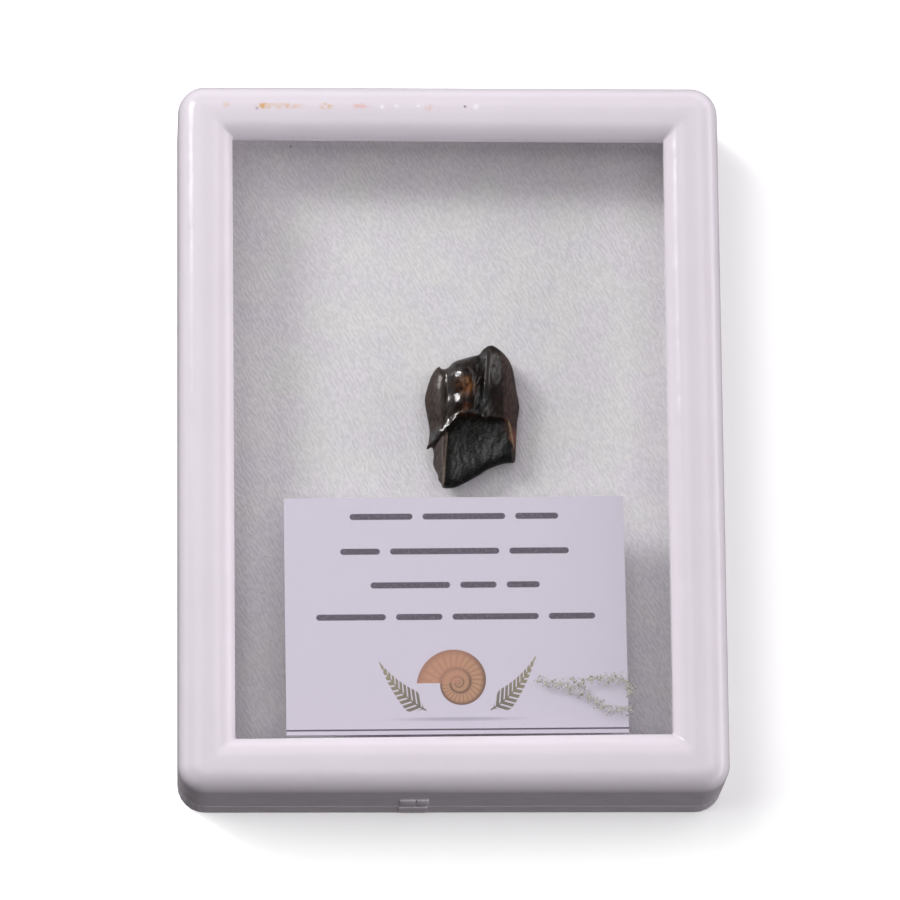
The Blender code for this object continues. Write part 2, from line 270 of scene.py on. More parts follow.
# %% Floor
FLOOR_HALF, FLOOR_DEPTH, FLOOR_GLOW = 3.0, 0.02 * MM, 0.16
floor_corners = [(x * FLOOR_HALF, y * FLOOR_HALF, 0.0) for x, y in ((-1, -1), (1, -1), (1, 1), (-1, 1))]
floor_mesh = bpy.data.meshes.new("floor")
floor_mesh.from_pydata(floor_corners, [], [(0, 1, 2, 3)])
floor = bpy.data.objects.new("floor", floor_mesh)
bpy.context.scene.collection.objects.link(floor)
floor.location.z = -FLOOR_DEPTH
floor.visible_diffuse = False
floor.visible_glossy = False
floor_paper = bpy.data.materials.new("floor paper")
floor_paper.use_nodes = True
paint = Tree(floor_paper.node_tree)
paper = paint.node("ShaderNodeBsdfPrincipled", {}, {
    "Base Color": (0.95, 0.95, 0.95, 1.0), "Roughness": 0.9, "Specular IOR Level": 0.0,
    "Emission Color": (1.0, 1.0, 1.0, 1.0), "Emission Strength": FLOOR_GLOW})
paint.node("ShaderNodeOutputMaterial", {}, {"Surface": paper})
floor_mesh.materials.append(floor_paper)
on_the_floor = bpy.data.collections.new("lit by the floor light")
on_the_floor.objects.link(floor)
floor_light.light_linking.receiver_collection = on_the_floor
print("floor at z", floor.location.z)


# %% [markdown]
# ## White plastic
#
# The tray and the lid frame are moulded in white plastic with a little lilac in it. It is smooth and
# glossy, with a faint waviness from the mould and a fine satin grain. On the rail at the back there
# is a row of small ochre stains, dark specks and pale scratches. They are painted by distance: each
# is a soft oval along the rail, broken up by noise, so it doesn't look like a drawn dot.

# %% A finish, and what every finish starts from
class Finish(Tree):
    """A material whose shader is a Principled one, with places in millimetres from the case's middle."""

    def __init__(self, name):
        self.material = bpy.data.materials.new(name)
        self.material.use_nodes = True
        super().__init__(self.material.node_tree)
        place = self.node("ShaderNodeTexCoord", {}, {}, "Object")
        place = self.vector("SCALE", place, (0.0, 0.0, 0.0))
        place.socket.node.inputs["Scale"].default_value = 1 / MM
        self.place = self.vector("SUBTRACT", place, tuple(CASE_MIDDLE))
        self.x, self.y, self.z = self.parts(self.place)

    def bump(self, height, depth):
        """Relief that a height of 1 raises by a depth in millimetres."""
        sockets = {"Height": height, "Distance": depth * MM, "Strength": 1.0}
        return self.node("ShaderNodeBump", {}, sockets)

    def spot(self, x, y, radius):
        """1 at a place seen from above, falling to 0 at a radius."""
        far = ((self.x - x) ** 2 + (self.y - y) ** 2) ** 0.5
        return self.rise(far, radius, 0.0)

    def surface(self, **sockets):
        named = {name.replace("_", " "): value for name, value in sockets.items()}
        return self.node("ShaderNodeBsdfPrincipled", {}, named)

    def done(self, surface):
        self.node("ShaderNodeOutputMaterial", {}, {"Surface": surface})
        print(self.material.name, "has", len(self.nodes), "nodes")
        return self.material


def give(thing, material):
    """Puts a material on every slot of an object."""
    thing.data.materials.clear()
    thing.data.materials.append(material)


# %% Plastic of the tray and the lid
RAIL_FOOT, RAIL_TOP = 17.0, 18.0
STAIN_HALF_WIDTH = 0.75


def make_plastic(name, light, shade, stains=()):
    """White plastic between two tones. A stain is a place, a radius, a strength and a colour."""
    plastic = Finish(name)
    cloud = plastic.noise(plastic.place, 0.06, 3.0, 0.55)
    tone = plastic.mix(plastic.rise(cloud, 0.35, 0.65), shade, light)
    if stains:
        patchy = plastic.noise(plastic.place, 1.3, 3.0, 0.6)
        on_top = plastic.rise(plastic.z, RAIL_FOOT, RAIL_TOP) * plastic.rise(patchy, 0.30, 0.62)
    for x, y, radius, strength, stain in stains:
        half_width = min(radius, STAIN_HALF_WIDTH)
        far = (((plastic.x - x) / radius) ** 2 + ((plastic.y - y) / half_width) ** 2) ** 0.5
        tone = plastic.mix(plastic.rise(far, 1.0, 0.1) * on_top * strength, tone, stain)
    waves = plastic.noise(plastic.place, 0.22, 2.0, 0.5)
    satin = plastic.noise(plastic.place, 9.0, 2.0, 0.5)
    relief = plastic.bump(waves + satin * 0.01, 0.12)
    rough = plastic.rise(waves, 0.3, 0.7, 0.20, 0.27)
    return plastic.done(plastic.surface(Base_Color=tone, Roughness=rough, Normal=relief, IOR=1.49))


OCHRE = colour(222, 172, 104)
PINK = colour(232, 184, 172)
SPECK = colour(96, 84, 88)
SCRATCH = colour(250, 246, 250)
STAINS = [
    (-28.2, 51.0, 1.5, 1.0, OCHRE), (-25.5, 51.0, 5.5, 0.55, OCHRE), (-18.7, 51.0, 1.4, 1.0, OCHRE),
    (-13.5, 51.0, 2.0, 0.8, PINK), (-3.0, 50.8, 1.0, 0.9, PINK), (-33.8, 51.2, 1.0, 0.5, OCHRE),
    (-29.2, 50.6, 0.35, 1.0, SPECK), (2.5, 51.0, 0.35, 1.0, SPECK),
    (-10.1, 50.9, 0.6, 1.0, SCRATCH), (-8.0, 51.0, 0.6, 1.0, SCRATCH),
    (-4.6, 51.0, 0.5, 1.0, SCRATCH), (4.2, 50.9, 0.9, 1.0, SCRATCH)]
# The tray is the same plastic as the lid, painted a little whiter so that it throws more light into the
# box: painted light
tray_plastic = make_plastic(
    "white plastic of the tray", colour(238, 230, 239), colour(236, 228, 237))
lid_plastic = make_plastic(
    "white plastic of the lid", colour(232, 224, 233), colour(230, 222, 231), STAINS)
give(nodes["base_tray"], tray_plastic)

# %% [markdown]
# ## The lid frame
#
# A glossy rail shows every flat strip in its shape, so the lid is lofted again here, from the same
# section as its solid but with many more steps. The section goes from the foot of the skirt up and
# over the crest, rounds down to the edge of the opening, and comes back underneath. Each point of the
# section becomes a ring. The rings' corners are round outside and nearly sharp at the opening.


# %% Helpers that turn a shape into a mesh and a mesh into a piece
def as_mesh(name, shape):
    """A mesh made of a shape that is no longer needed."""
    mesh = bpy.data.meshes.new(name)
    shape.to_mesh(mesh)
    shape.free()
    return mesh


def add_piece(name, mesh, material, stands_for=None):
    """Makes an object of a mesh, gives it a material and says which body and solid it goes with."""
    piece = bpy.data.objects.new(name, mesh)
    bpy.context.scene.collection.objects.link(piece)
    mesh.materials.append(material)
    mesh.shade_smooth()
    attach(piece, "root")
    if stands_for:
        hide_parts(stands_for)
    triangles = sum(len(face.vertices) - 2 for face in mesh.polygons)
    print(name, "has", triangles, "triangles")
    return piece


# %% Section of the lid
CASE_WIDTH, CASE_LENGTH, CASE_HEIGHT = 82.5, 109.6, 19.0
WALL = 1.8
SKIRT_FOOT = 5.3
SHOULDER, CREST_INSET = 15.0, 4.6
OUTER_ROLL_POWER = 2.5
OPENING_EDGE_TILT, INNER_ROLL_POWER = radians(55), 1.35
OPENING_INSET, LIP_BOTTOM = 8.45, 15.7
LIP_ROOT_INSET, HOLLOW_START, HOLLOW_RISE = 6.9, 14.4, 2.2
ROLL_STEPS, HOLLOW_STEPS = 22, 8


def lid_section():
    """Points of the lid's section, each an inset from the outside and a height."""
    section = [(0.0, SKIRT_FOOT)]
    for step in range(ROLL_STEPS + 1):
        angle = step / ROLL_STEPS * pi / 2
        inset = CREST_INSET * (1 - cos(angle) ** (2 / OUTER_ROLL_POWER))
        rise = (CASE_HEIGHT - SHOULDER) * sin(angle) ** (2 / OUTER_ROLL_POWER)
        section.append((inset, SHOULDER + rise))
    stretch = (OPENING_INSET - CREST_INSET) / ROLL_STEPS
    height = CASE_HEIGHT
    for step in range(ROLL_STEPS):
        share = (step + 0.5) / ROLL_STEPS
        height -= stretch * tan(OPENING_EDGE_TILT * share ** INNER_ROLL_POWER)
        section.append((CREST_INSET + stretch * (step + 1), height))
    section.append((OPENING_INSET, LIP_BOTTOM))
    for step in range(HOLLOW_STEPS + 1):
        share = step / HOLLOW_STEPS
        inset = LIP_ROOT_INSET + (WALL - LIP_ROOT_INSET) * (1 - cos(share * pi)) / 2
        height = LIP_BOTTOM + (HOLLOW_START - LIP_BOTTOM) * share + HOLLOW_RISE * sin(share * pi)
        section.append((inset, height))
    section.append((WALL, SKIRT_FOOT))
    return section


print("points in the lid's section:", len(lid_section()))

# %% Rings and the loft
CORNER_STEPS = 14
CORNER_INSETS, CORNER_RADII = (0.0, 3.0, 6.0, 8.45), (4.2, 1.2, 0.7, 0.3)
# The opening is a little off square: how far each corner is shifted, anticlockwise from the front right
OPENING_SHIFTS = ((-0.05, 0.15), (0.07, -0.10), (-0.15, 0.10), (0.10, -0.55))


def rounded_rectangle(width, length, radius):
    """Points of a rectangle with round corners, anticlockwise."""
    points = []
    for corner in range(4):
        side_x = 1 if corner in (0, 1) else -1
        side_y = 1 if corner in (1, 2) else -1
        start = (corner - 1) * pi / 2
        for step in range(CORNER_STEPS + 1):
            angle = start + step / CORNER_STEPS * pi / 2
            x = side_x * (width / 2 - radius) + radius * cos(angle)
            y = side_y * (length / 2 - radius) + radius * sin(angle)
            points.append((x, y))
    return points


def loft(name, section):
    """A closed ring-shaped mesh through a section's points."""
    shape = bmesh.new()
    rings = []
    for inset, height in section:
        radius = float(np.interp(inset, CORNER_INSETS, CORNER_RADII))
        points = rounded_rectangle(CASE_WIDTH - 2 * inset, CASE_LENGTH - 2 * inset, radius)
        skew = (inset / OPENING_INSET) ** 2
        ring = []
        for place, (x, y) in enumerate(points):
            shift_x, shift_y = OPENING_SHIFTS[place * 4 // len(points)]
            place_in_case = from_case(x + skew * shift_x, y + skew * shift_y, height)
            ring.append(shape.verts.new(place_in_case))
        rings.append(ring)
    for index, ring in enumerate(rings):
        following = rings[(index + 1) % len(rings)]
        for place in range(len(ring)):
            beside = (place + 1) % len(ring)
            shape.faces.new((ring[place], ring[beside], following[beside], following[place]))
    bmesh.ops.recalc_face_normals(shape, faces=shape.faces)
    return as_mesh(name, shape)


lid_mesh = loft("lid_rail", lid_section())
lid_piece = add_piece("lid_rail", lid_mesh, lid_plastic, "lid_frame")
lid_piece.data.set_sharp_from_angle(angle=radians(40))

# %% [markdown]
# Left of the middle of the front there is a small tab for a finger nail. Its lower half is part of
# the tray. The upper half belongs to the lid, and a thin upright line parts it in two.

# %% Tab on the lid
TAB_CENTRE, TAB_HALF_WIDTH, TAB_PROUD = -5.78, 2.17, 0.2
TAB_FOOT, TAB_TOP = 5.6, 10.0
TAB_LINE_X, TAB_LINE_WIDTH = -5.5, 0.12
TAB_EDGE_RADIUS = 0.14 * MM


def rounded_block(shape, low, high, radius):
    """Adds a box between two corners, with its edges rounded, to a shape."""
    made = bmesh.ops.create_cube(shape, size=1.0)["verts"]
    low, high = Vector(low), Vector(high)
    bmesh.ops.scale(shape, vec=high - low, verts=made)
    bmesh.ops.translate(shape, vec=(high + low) / 2, verts=made)
    edges = list({edge for vert in made for edge in vert.link_edges})
    bmesh.ops.bevel(shape, geom=edges, offset=radius, segments=3, profile=0.5, affect="EDGES")


tab_shape = bmesh.new()
front = -CASE_LENGTH / 2
for left, right in ((TAB_CENTRE - TAB_HALF_WIDTH, TAB_LINE_X - TAB_LINE_WIDTH / 2),
                    (TAB_LINE_X + TAB_LINE_WIDTH / 2, TAB_CENTRE + TAB_HALF_WIDTH)):
    rounded_block(tab_shape, from_case(left, front - TAB_PROUD, TAB_FOOT),
                  from_case(right, front + WALL / 2, TAB_TOP), TAB_EDGE_RADIUS)
add_piece("lid_tab", as_mesh("lid_tab", tab_shape), lid_plastic)

# %% [markdown]
# ## The window
#
# The pane is clear plastic, under one millimetre thick. Light has to pass through it to the pad, and
# a ray tracer sees a pane as a solid that blocks shadow rays. The usual remedy is a second, fully
# transparent surface that only the shadow rays meet. The rays that the pad scatters and the tooth
# reflects must meet it too, or the same light would be counted twice or be lost.

# %% Clear pane
pane = Finish("clear pane")
glass = pane.surface(
    Base_Color=(1.0, 1.0, 1.0, 1.0), Roughness=0.02, IOR=1.46, Transmission_Weight=1.0,
    Specular_IOR_Level=0.3)
passing = pane.node("ShaderNodeBsdfTransparent", {}, {"Color": (0.99, 0.99, 0.99, 1.0)})
shadow_ray = pane.node("ShaderNodeLightPath", {}, {}, "Is Shadow Ray")
scattered_ray = pane.node("ShaderNodeLightPath", {}, {}, "Is Diffuse Ray")
glossy_ray = pane.node("ShaderNodeLightPath", {}, {}, "Is Glossy Ray")
bent_ray = pane.node("ShaderNodeLightPath", {}, {}, "Is Transmission Ray")
# A ray that the pane itself bends counts as glossy too, and must go on seeing the glass
let_through = shadow_ray.most(scattered_ray).most(glossy_ray - bent_ray)
pane_surface = pane.node("ShaderNodeMixShader", {}, {0: let_through, 1: glass, 2: passing})
give(nodes["window"], pane.done(pane_surface))

# %% [markdown]
# ## The fibre pad
#
# The pad is a sheet of white needled fibre. Its face rolls softly and is full of short, slanting
# tufts, about half a millimetre wide, which the low light picks out. The soft rolls are real
# relief: a grid is lifted by noise. The tufts and the single fibres are so fine that the material
# adds them.

# %% Shapes made from grids
def smooth_step(low, high, value):
    share = np.clip((value - low) / (high - low), 0.0, 1.0)
    return share * share * (3 - 2 * share)


def lumps(x, y, size_x, size_y, depth, octaves=1):
    """Uneven relief between about -0.5 and 0.5, of a given size in each direction."""
    height = np.zeros(len(x))
    for octave in range(octaves):
        fine = 2 ** octave
        places = zip(x * fine / size_x, y * fine / size_y)
        height += [noise.noise((a, b, depth + octave * 7.3)) / fine for a, b in places]
    return height


# %% Pad: a grid whose corners are pulled in to the pad's round ones
PAD_CELL = 0.33
PAD_EDGE, PAD_CORNER = 1.0, 1.6
# The felt lies this far below its solid's top, so that no roll stands out of it
PAD_SLACK = 0.2
WAVE_HEIGHT, WAVE_LENGTH, WAVE_WIDTH = 0.06, 2.0, 0.9
ROLL_HEIGHT, ROLL_SIZE = 0.13, 9.0
SLANT = radians(60)

low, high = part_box("backing_pad")
pad_width, pad_length = (high.x - low.x) / MM, (high.y - low.y) / MM
pad_bottom, pad_top = low.z / MM, high.z / MM


def make_pad():
    """A grid of heights: it rolls softly, and falls off round its border like the edge of a cushion."""
    columns = int(pad_width / PAD_CELL)
    rows = int(pad_length / PAD_CELL)
    u, v = np.meshgrid(np.linspace(-1, 1, columns), np.linspace(-1, 1, rows))
    x, y = u.ravel() * pad_width / 2, v.ravel() * pad_length / 2
    out_x = np.maximum(np.abs(x) - (pad_width / 2 - PAD_CORNER), 0.0)
    out_y = np.maximum(np.abs(y) - (pad_length / 2 - PAD_CORNER), 0.0)
    reach = np.hypot(out_x, out_y)
    square = np.maximum(out_x, out_y)
    pull = np.where(reach > 1e-6, square / np.maximum(reach, 1e-6), 1.0)
    x = np.sign(x) * (np.abs(x) - out_x * (1 - pull))
    y = np.sign(y) * (np.abs(y) - out_y * (1 - pull))
    border = np.minimum(pad_width / 2 - np.abs(x), pad_length / 2 - np.abs(y))
    inside = np.where(square > 0, np.maximum(PAD_CORNER - square, 0.0), border)
    inside = np.clip(inside, 0.0, PAD_EDGE)
    drop = PAD_EDGE - np.sqrt(np.maximum(PAD_EDGE ** 2 - (PAD_EDGE - inside) ** 2, 0.0))
    slant_x = x * cos(SLANT) - y * sin(SLANT)
    slant_y = x * sin(SLANT) + y * cos(SLANT)
    waves = lumps(slant_x, slant_y, WAVE_LENGTH, WAVE_WIDTH, 3.1)
    rolls = lumps(x, y, ROLL_SIZE, ROLL_SIZE, 8.8)
    z = pad_top - drop - PAD_SLACK + WAVE_HEIGHT * waves + ROLL_HEIGHT * rolls
    return x, y, z, columns, rows


x, y, z, columns, rows = make_pad()
print("pad grid:", columns, "by", rows, "height", round(z.min(), 2), "to", round(z.max(), 2))

# %% Pad mesh: a top, a skirt and a flat underside
def closed_sheet(name, x, y, z, columns, rows, bottom):
    """A grid of heights closed by a skirt and one flat face underneath."""
    top = np.column_stack([x, y, z]) * MM
    index = np.arange(rows * columns).reshape(rows, columns)
    ring = np.concatenate([index[0, :-1], index[:-1, -1], index[-1, :0:-1], index[:0:-1, 0]])
    foot = top[ring].copy()
    foot[:, 2] = bottom * MM
    first_foot = len(top)
    corners = (index[:-1, :-1], index[:-1, 1:], index[1:, 1:], index[1:, :-1])
    faces = np.column_stack([corner.ravel() for corner in corners]).tolist()
    ring = ring.tolist()
    count = len(ring)
    for place in range(count):
        after = (place + 1) % count
        faces.append((ring[place], first_foot + place, first_foot + after, ring[after]))
    faces.append([first_foot + place for place in reversed(range(count))])
    mesh = bpy.data.meshes.new(name)
    mesh.from_pydata(np.vstack([top, foot]).tolist(), [], faces)
    mesh.update()
    return mesh


# %% Felt: wandering rows of tufts, each row broken into short lengths
TUFT_SPACING = 0.62

felt = Finish("white needled fibre")
slanted = felt.node("ShaderNodeMapping", {}, {"Vector": felt.place, "Rotation": (0.0, 0.0, SLANT)})
across_tuft = felt.parts(slanted)[1]
wander = felt.noise(felt.place, 0.7, 2.0, 0.5)
rows_of_tufts = ((across_tuft / TUFT_SPACING + wander * 2.0) * (2 * pi)).apply("SINE")
lengths = felt.noise(felt.vector("MULTIPLY", slanted, (0.5, 1.0, 0.5)), 1.4, 1.0, 0.5)
tufts = rows_of_tufts * felt.rise(lengths, 0.35, 0.6) * 0.12
fibre = felt.noise(felt.vector("MULTIPLY", slanted, (0.6, 1.0, 0.5)), 2.2, 2.0, 0.6)
warmth = felt.rise(felt.noise(felt.place, 0.13, 3.0, 0.6), 0.38, 0.62)
# Painted light and shade: the tone follows the tufts, darker in the hollows between them and lighter on
# their tips
between = felt.mix(warmth, colour(232, 229, 234), colour(235, 234, 234))
tip = felt.mix(warmth, colour(245, 242, 247), colour(247, 246, 245))
tone = felt.mix(felt.rise(tufts + fibre, 0.34, 0.66), between, tip)
felt_relief = felt.bump(tufts + fibre * 0.6, 0.20)
felt_material = felt.done(felt.surface(
    Base_Color=tone, Roughness=0.9, Specular_IOR_Level=0.15, Sheen_Weight=0.15, Normal=felt_relief))
pad_mesh = closed_sheet("fibre_pad", x, y + CASE_MIDDLE.y, z, columns, rows, pad_bottom)
pad_piece = add_piece("fibre_pad", pad_mesh, felt_material, "backing_pad")

# %% [markdown]
# ## The tooth
#
# The tooth comes last of the big shapes. Its solid is made of half-millimetre cells. Here it has
# the same outline and nearly the same hills, worked out again on cells a quarter of that size,
# and the small forms are added: wrinkles in the enamel, the ragged break and pores in the root.

# %% Tooth outline and lines, in millimetres from its middle
TOOTH_MIDDLE = (3.55, 4.48)
tooth_low, tooth_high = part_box("tooth")
TOOTH_FOOT = tooth_low.z / MM
TOOTH_HEIGHT = (tooth_high.z - tooth_low.z) / MM
TOOTH_OUTLINE = [
    (2.5, 10.95), (3.7, 10.65), (5.2, 9.45), (6.1, 8.1), (6.5, 6.4), (6.8, 4.3), (7.2, 2.4),
    (7.2, 1.25), (6.9, -0.3), (6.8, -1.6), (6.7, -3.1), (6.6, -5.0), (6.5, -6.5), (6.1, -6.9),
    (5.1, -7.0), (4.0, -7.3), (2.5, -7.9), (0.9, -8.9), (-0.8, -9.9), (-2.6, -10.8),
    (-4.5, -10.95), (-4.8, -10.3), (-5.2, -9.7), (-5.3, -8.9), (-5.8, -7.8), (-6.0, -7.0),
    (-5.9, -5.9), (-6.0, -4.7), (-6.3, -4.6), (-7.0, -4.9), (-6.75, -4.2), (-6.6, -3.2),
    (-6.5, -2.1), (-6.6, -1.2), (-6.85, 0.3), (-7.1, 1.6), (-7.2, 2.8), (-7.05, 3.7),
    (-6.4, 5.8), (-5.7, 7.1), (-5.0, 7.7), (-4.7, 7.3), (-3.7, 7.4), (-2.8, 8.3),
    (-1.3, 8.8), (0.2, 9.3), (1.1, 9.6), (1.6, 10.3)]
CREST_LINE = [(2.9, 10.4), (3.0, 8.4), (2.7, 6.0), (2.5, 3.0), (2.3, 0.0)]
VALLEY_LINE = [(0.9, 8.4), (1.4, 5.6), (1.4, 3.0), (1.1, 0.9)]
GROOVE_LINE = [(-4.2, 7.4), (-3.8, 4.4), (-3.6, 2.8), (-3.9, 0.0), (-4.1, -2.4)]
BREAK_LINE = [(-4.4, -2.7), (-3.3, -1.5), (-2.0, -0.3), (-0.8, 0.1), (0.5, -0.4), (1.9, -0.7),
              (3.6, -0.5), (5.2, -1.1), (5.8, -3.0), (6.2, -5.0), (6.1, -7.4)]
SPLINT_LINE = [(-4.7, -4.0), (-4.7, -6.4), (-4.7, -8.4), (-4.7, -10.6)]
FACET_MIDDLE, FACET_RADII = (3.5, 6.9), (1.0, 2.8)
print("tooth:", round(TOOTH_HEIGHT, 2), "mm high, on", round(TOOTH_FOOT, 2))


def smooth_loop(points, steps=3):
    """A closed line that passes smoothly through the points."""
    count = len(points)
    smooth = []
    for index in range(count):
        p0, p1, p2, p3 = (np.array(points[(index + shift) % count]) for shift in (-1, 0, 1, 2))
        for step in range(steps):
            t = step / steps
            bend = (2 * p1 + (p2 - p0) * t + (2 * p0 - 5 * p1 + 4 * p2 - p3) * t ** 2
                    + (3 * p1 - p0 - 3 * p2 + p3) * t ** 3)
            smooth.append(tuple(bend / 2))
    return smooth


def distance_to_line(x, y, line, closed=False):
    """Distance from each place to a line of points, negative on the line's right side."""
    nearest = np.full(x.shape, np.inf)
    side = np.ones(x.shape)
    ends = list(zip(line, line[1:] + line[:1])) if closed else list(zip(line, line[1:]))
    for (ax, ay), (bx, by) in ends:
        along_x, along_y = bx - ax, by - ay
        share = ((x - ax) * along_x + (y - ay) * along_y) / (along_x ** 2 + along_y ** 2)
        share = np.clip(share, 0.0, 1.0)
        distance = np.hypot(x - ax - share * along_x, y - ay - share * along_y)
        closer = distance < nearest
        turn = along_x * (y - ay) - along_y * (x - ax)
        side = np.where(closer, np.where(turn < 0, -1.0, 1.0), side)
        nearest = np.where(closer, distance, nearest)
    return nearest * side


def hill(x, y, centre, radii):
    return np.exp(-((x - centre[0]) / radii[0]) ** 2 - ((y - centre[1]) / radii[1]) ** 2)


def near(x, y, line, width):
    return np.exp(-(distance_to_line(x, y, line) / width) ** 2)


# %% Tooth relief
# Each hill on the crown has a height, a middle and two radii: the dome, the left lobe and the knob
CROWN_HILLS = [(1.35, (-1.5, 5.6), (2.8, 3.1)), (0.45, (-5.5, 3.2), (1.1, 3.8)),
               (0.6, (-2.3, 1.4), (1.2, 1.0))]
GROOVE_DEPTH, GROOVE_WIDTH = 0.32, 0.7
VALLEY_DEPTH, VALLEY_WIDTH = 0.55, 1.1
CREST_HEIGHT, WRINKLE_HEIGHT = 0.9, 0.07
FLANK_START, FLANK_FALL = 4.6, 0.28
SMOOTH_SPOT = ((-2.3, 5.6), (0.8, 1.0))
CROWN_LEVEL, ROOT_LEVEL = 5.2, 4.1
# A hollow in the root, and a notch at the left where a chip of enamel stands off
ROOT_HOLLOW = (1.2, (0.8, -4.6), (3.4, 3.4))
NOTCH = (0.7, (-5.15, -3.75), (0.5, 0.45))


def crown_height(x, y):
    height = CROWN_LEVEL - 0.035 * (x + 0.5) ** 2 - 0.010 * (y - 3.0) ** 2
    for lift, middle, radii in CROWN_HILLS:
        height += lift * hill(x, y, middle, radii)
    height -= GROOVE_DEPTH * near(x, y, GROOVE_LINE, GROOVE_WIDTH)
    height -= VALLEY_DEPTH * near(x, y, VALLEY_LINE, VALLEY_WIDTH)
    # The crest rises like a cliff out of the valley and falls off slowly on its right
    from_crest = distance_to_line(x, y, CREST_LINE)
    cliff = smooth_step(-0.9, -0.1, from_crest) * (1 - 0.7 * smooth_step(0.3, 3.5, from_crest))
    height += CREST_HEIGHT * cliff * smooth_step(0.5, 4.5, y)
    height -= FLANK_FALL * np.maximum(x - FLANK_START, 0.0) ** 2
    facet = hill(x, y, FACET_MIDDLE, FACET_RADII)
    worn = 5.5 - 0.3 * (x - 3.0)
    height += (np.minimum(height, worn) - height) * smooth_step(0.15, 0.6, facet)
    height += 0.2 * near(x, y, BREAK_LINE, 0.4)
    # Wrinkles lean a little to the right as they rise, and the facet, the flank and the dome's top
    # have next to none
    lean_x = x - 0.3 * y
    wrinkles = lumps(lean_x, y, 0.5, 1.4, 2.2, octaves=2)
    calm = facet * 1.4 + smooth_step(4.0, 5.2, x) + smooth_step(-4.4, -5.2, x) * 0.7
    calm = np.clip(calm + 1.1 * hill(x, y, *SMOOTH_SPOT), 0.0, 1.0)
    return height + WRINKLE_HEIGHT * wrinkles * (1 - 0.85 * calm)


def root_height(x, y):
    height = ROOT_LEVEL - 0.030 * (x - 1.0) ** 2 + 0.05 * (y + 5.0)
    height -= ROOT_HOLLOW[0] * hill(x, y, *ROOT_HOLLOW[1:])
    height += 1.2 * near(x, y, SPLINT_LINE, 0.75)
    height += 0.12 * lumps(x, y, 1.2, 1.9, 6.1, octaves=2)
    pores = lumps(x, y, 0.40, 0.45, 5.5, octaves=3)
    splint = near(x, y, SPLINT_LINE, 0.9)
    grain = lumps(x, y, 0.25, 3.0, 9.1, octaves=2)
    height += 0.07 * pores * (1 - splint) + 0.05 * grain * splint
    return height - 0.5 * np.maximum(x - 5.4, 0.0)


def tooth_top(x, y):
    ragged = 0.45 * lumps(x, y, 0.9, 0.9, 4.4, octaves=2)
    past_break = -distance_to_line(x, y, BREAK_LINE) + ragged
    root = smooth_step(0.0, 0.5, past_break)
    height = crown_height(x, y) * (1 - root) + root_height(x, y) * root
    height -= NOTCH[0] * hill(x, y, *NOTCH[1:])
    return height + 0.10 * lumps(x, y, 1.6, 1.6, 0.3), root


def tooth_bottom(x, y):
    height = 0.8 * (1 - hill(x, y, (0.3, 0.0), (5.0, 8.0)))
    return height + 0.15 * lumps(x, y, 2.4, 2.4, 7.1)


# %% Tooth mesh: a block of the outline's shape, cut into cells and pulled to the two reliefs
TOOTH_CELL = 0.11
BLOCK_HEIGHT = 7.0
# The rim is as wide as this, keeps this share of the thickness, and lies this far up in it
RIM_WIDTH = 2.2
RIM_LEFT = 0.32
RIM_LEVEL = 0.42


def make_tooth():
    outline = smooth_loop(TOOTH_OUTLINE)
    shape = bmesh.new()
    lower = [shape.verts.new((x * MM, y * MM, 0.0)) for x, y in outline]
    base = shape.faces.new(lower)
    lifted = bmesh.ops.extrude_face_region(shape, geom=[base])
    tops = [item for item in lifted["geom"] if isinstance(item, bmesh.types.BMVert)]
    bmesh.ops.translate(shape, vec=(0.0, 0.0, BLOCK_HEIGHT * MM), verts=tops)
    bmesh.ops.recalc_face_normals(shape, faces=shape.faces)
    draft = bpy.data.objects.new("tooth_draft", as_mesh("tooth_draft", shape))
    bpy.context.scene.collection.objects.link(draft)
    cells = draft.modifiers.new("cells", "REMESH")
    cells.mode = "VOXEL"
    cells.voxel_size = TOOTH_CELL * MM
    evaluated = draft.evaluated_get(bpy.context.evaluated_depsgraph_get())
    mesh = bpy.data.meshes.new_from_object(evaluated)
    bpy.data.objects.remove(draft, do_unlink=True)
    places = np.empty(len(mesh.vertices) * 3)
    mesh.vertices.foreach_get("co", places)
    x, y, z = places.reshape(-1, 3).T / MM
    share = np.clip(z / BLOCK_HEIGHT, 0.0, 1.0)
    top, root = tooth_top(x, y)
    bottom = tooth_bottom(x, y)
    top *= BLOCK_HEIGHT / np.percentile(top, 99.9)
    bottom -= bottom.min()
    from_outline = np.abs(distance_to_line(x, y, outline, closed=True))
    inward = np.clip(from_outline / RIM_WIDTH, 0.0, 1.0)
    fullness = RIM_LEFT + (1 - RIM_LEFT) * np.sqrt(1 - (1 - inward) ** 2)
    level = bottom + (top - bottom) * RIM_LEVEL
    z = level + (bottom + (top - bottom) * share - level) * fullness
    z = np.minimum(z - z.min(), TOOTH_HEIGHT)
    middle_x, middle_y = (from_case(*TOOTH_MIDDLE) / MM).xy
    placed = np.stack([x + middle_x, y + middle_y, z + TOOTH_FOOT], axis=1) * MM
    mesh.vertices.foreach_set("co", placed.ravel())
    mesh.name = "fossil_tooth"
    masks = {
        "root": root,
        "facet": smooth_step(0.3, 0.6, hill(x, y, FACET_MIDDLE, FACET_RADII)),
        "valley": near(x, y, VALLEY_LINE, VALLEY_WIDTH),
        "edge": near(x, y, BREAK_LINE, 0.5)}
    for name, weights in masks.items():
        mask = mesh.attributes.new(name, "FLOAT", "POINT")
        mask.data.foreach_set("value", weights.astype(np.float32))
    mesh.update()
    return mesh


# %% [markdown]
# Two finishes meet on the tooth. The enamel is dark brown to black under a thin clear coat, with
# amber where light passes a thin spot. The broken root is dull charcoal with a greenish speckle.
# A mask that the mesh carries mixes the two shaders, so each keeps its own gloss. Places on the
# tooth are given by u and v, in millimetres from its middle.

